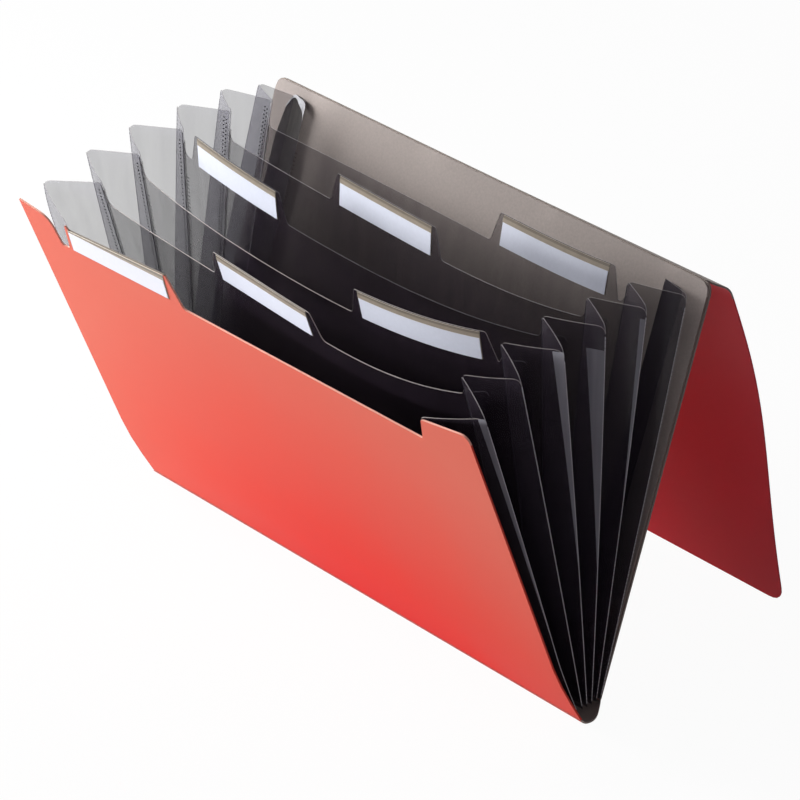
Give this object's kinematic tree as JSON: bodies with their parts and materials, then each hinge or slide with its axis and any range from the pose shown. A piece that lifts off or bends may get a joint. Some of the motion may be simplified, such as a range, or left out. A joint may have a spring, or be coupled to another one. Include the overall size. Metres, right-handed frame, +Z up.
{
  "type": "accordion file folder",
  "caption": "Plastic accordion file folder standing open like a fan: creased cover with a back flap, film dividers with label tabs, and pleated side gussets.",
  "frame": {"origin": "under the middle of the bottom spine, on the surface that the folder stands on", "axes": "+X along the creases to the folder's right-hand end, -Y towards the front panel, +Z up"},
  "size_m": [0.33, 0.2359, 0.2228],
  "materials": {
    "cover_red": "fine matte polypropylene sheet",
    "board_taupe": "fine matte polypropylene sheet",
    "smoke_film": "clear smoke-grey polypropylene film",
    "label_sleeve": "thin satin film",
    "label_paper": "plain uncoated paper"
  },
  "bodies": {
    "spine": {"bottom_spine": "cover_red"},
    "rear_cover": {"rear_panel": "cover_red", "rear_board": "board_taupe", "left_pleat_6": "smoke_film", "right_pleat_6": "smoke_film"},
    "divider_5": {"divider_5": "smoke_film", "label_sleeve_6": "label_sleeve", "label_card_6": "label_paper", "left_pleat_5": "smoke_film", "right_pleat_5": "smoke_film"},
    "divider_4": {"divider_4": "smoke_film", "label_sleeve_5": "label_sleeve", "label_card_5": "label_paper", "left_pleat_4": "smoke_film", "right_pleat_4": "smoke_film"},
    "divider_3": {"divider_3": "smoke_film", "label_sleeve_4": "label_sleeve", "label_card_4": "label_paper", "left_pleat_3": "smoke_film", "right_pleat_3": "smoke_film"},
    "divider_2": {"divider_2": "smoke_film", "label_sleeve_3": "label_sleeve", "label_card_3": "label_paper", "left_pleat_2": "smoke_film", "right_pleat_2": "smoke_film"},
    "divider_1": {"divider_1": "smoke_film", "label_sleeve_2": "label_sleeve", "label_card_2": "label_paper", "left_pleat_1": "smoke_film", "right_pleat_1": "smoke_film"},
    "front_cover": {"front_panel": "cover_red", "label_sleeve_1": "label_sleeve", "label_card_1": "label_paper"},
    "top_strip": {"top_strip": "cover_red"},
    "flap": {"flap": "cover_red"}
  },
  "joints": [
    {"name": "rear_fold", "type": "hinge", "parent": "spine", "child": "rear_cover", "pos_m": [0, 0.01, 0.003], "axis": [1, 0, 0], "range_deg": [0, 18.5]},
    {"name": "divider_5_fold", "type": "hinge", "parent": "rear_cover", "child": "divider_5", "pos_m": [0, 0.00667, 0.0055], "axis": [1, 0, 0], "range_deg": [-6.77, 0], "deforming": ["left_pleat_6", "right_pleat_6"]},
    {"name": "divider_4_fold", "type": "hinge", "parent": "divider_5", "child": "divider_4", "pos_m": [0, 0.00333, 0.0055], "axis": [1, 0, 0], "range_deg": [-6.77, 0], "deforming": ["left_pleat_5", "right_pleat_5"]},
    {"name": "divider_3_fold", "type": "hinge", "parent": "divider_4", "child": "divider_3", "pos_m": [0, 0, 0.0055], "axis": [1, 0, 0], "range_deg": [-6.77, 0], "deforming": ["left_pleat_4", "right_pleat_4"]},
    {"name": "divider_2_fold", "type": "hinge", "parent": "divider_3", "child": "divider_2", "pos_m": [0, -0.00333, 0.0055], "axis": [1, 0, 0], "range_deg": [-6.77, 0], "deforming": ["left_pleat_3", "right_pleat_3"]},
    {"name": "divider_1_fold", "type": "hinge", "parent": "divider_2", "child": "divider_1", "pos_m": [0, -0.00667, 0.0055], "axis": [1, 0, 0], "range_deg": [-6.77, 0], "deforming": ["left_pleat_2", "right_pleat_2"]},
    {"name": "front_fold", "type": "hinge", "parent": "divider_1", "child": "front_cover", "pos_m": [0, -0.01, 0.003], "axis": [1, 0, 0], "range_deg": [-6.77, 0], "deforming": ["left_pleat_1", "right_pleat_1"]},
    {"name": "strip_fold", "type": "hinge", "parent": "rear_cover", "child": "top_strip", "pos_m": [0, 0.08044, 0.21353], "axis": [1, 0, 0], "range_deg": [-12, 155]},
    {"name": "flap_fold", "type": "hinge", "parent": "top_strip", "child": "flap", "pos_m": [0, 0.09553, 0.19965], "axis": [1, 0, 0], "range_deg": [-7.2, 93]}
  ],
  "couplings": [
    {"joint": "divider_5_fold", "follows": "rear_fold", "ratio": -0.36577},
    {"joint": "divider_4_fold", "follows": "rear_fold", "ratio": -0.36577},
    {"joint": "divider_3_fold", "follows": "rear_fold", "ratio": -0.36577},
    {"joint": "divider_2_fold", "follows": "rear_fold", "ratio": -0.36577},
    {"joint": "divider_1_fold", "follows": "rear_fold", "ratio": -0.36577},
    {"joint": "front_fold", "follows": "rear_fold", "ratio": -0.36577},
    {"joint": "flap_fold", "follows": "strip_fold", "ratio": 0.6}
  ]
}
